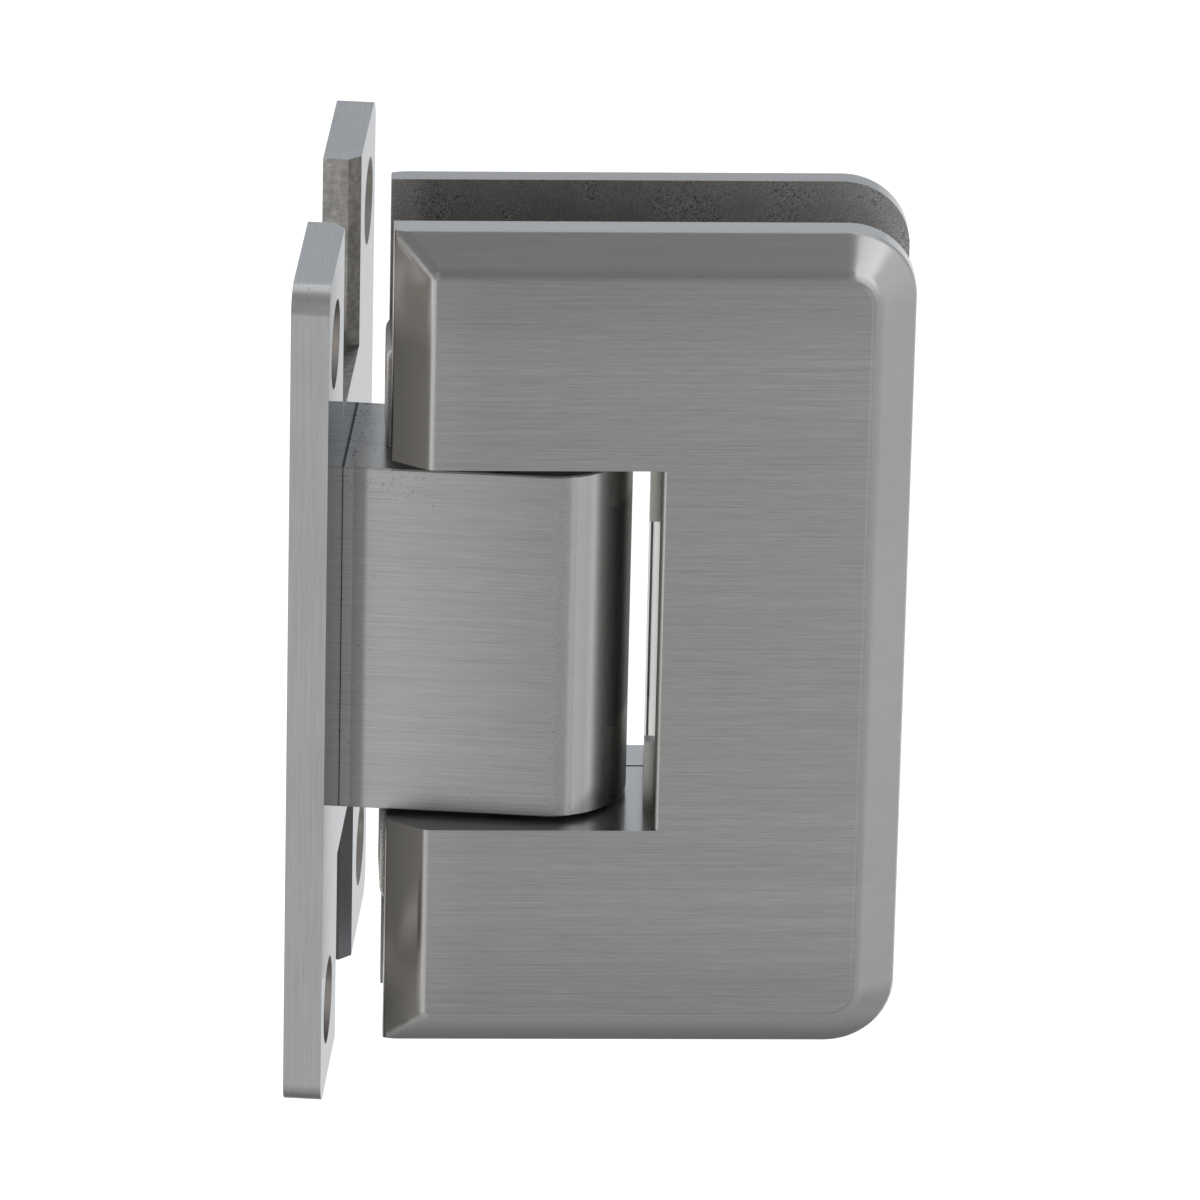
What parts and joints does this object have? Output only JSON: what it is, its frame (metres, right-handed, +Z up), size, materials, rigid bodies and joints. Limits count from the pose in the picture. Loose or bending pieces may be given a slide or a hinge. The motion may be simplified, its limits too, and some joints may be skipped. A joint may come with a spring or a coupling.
{
  "type": "shower door hinge",
  "caption": "Wall-mounted shower door hinge: H-shaped plate with a half-round knuckle, and a bevelled glass clamp that swings both ways on a vertical pivot pin.",
  "frame": {"origin": "middle of the wall plate's wall face", "axes": "+X away from the wall, along the closed door; +Z up, along the pivot; -Y the side the picture shows"},
  "size_m": [0.0605, 0.0506, 0.0902],
  "materials": {
    "satin_metal": "fine straight grain, satin",
    "inner_steel": "ground, oiled",
    "screw_steel": "plain turned",
    "bearing_plastic": "smooth moulded",
    "gasket": "matt sheet"
  },
  "bodies": {
    "wall_bracket": {"wall_plate": "satin_metal", "knuckle": "satin_metal", "knuckle_screws": "screw_steel", "upper_bush": "bearing_plastic", "lower_bush": "bearing_plastic", "upper_thrust_washer": "bearing_plastic", "upper_spring": "inner_steel", "lower_spring": "inner_steel"},
    "detent": {"detent_shoe": "inner_steel"},
    "door_clamp": {"front_cover": "satin_metal", "back_cover": "satin_metal", "front_gasket": "gasket", "back_gasket": "gasket", "pivot_pin": "inner_steel", "pin_grub_screws": "screw_steel", "clamp_screws": "screw_steel", "lower_thrust_washer": "bearing_plastic"}
  },
  "joints": [
    {"name": "door_swing", "type": "hinge", "parent": "wall_bracket", "child": "door_clamp", "pos_m": [0.0244, 0, 0], "axis": [0, 0, 1], "range_deg": [-96.2, 83.8]},
    {"name": "detent_slide", "type": "slide", "parent": "wall_bracket", "child": "detent", "axis": [1, 0, 0], "range_m": [0, 0.00055], "stiffness_N_per_m": 1000, "springref_m": 0.00055, "deforming": ["upper_spring", "lower_spring"]}
  ]
}
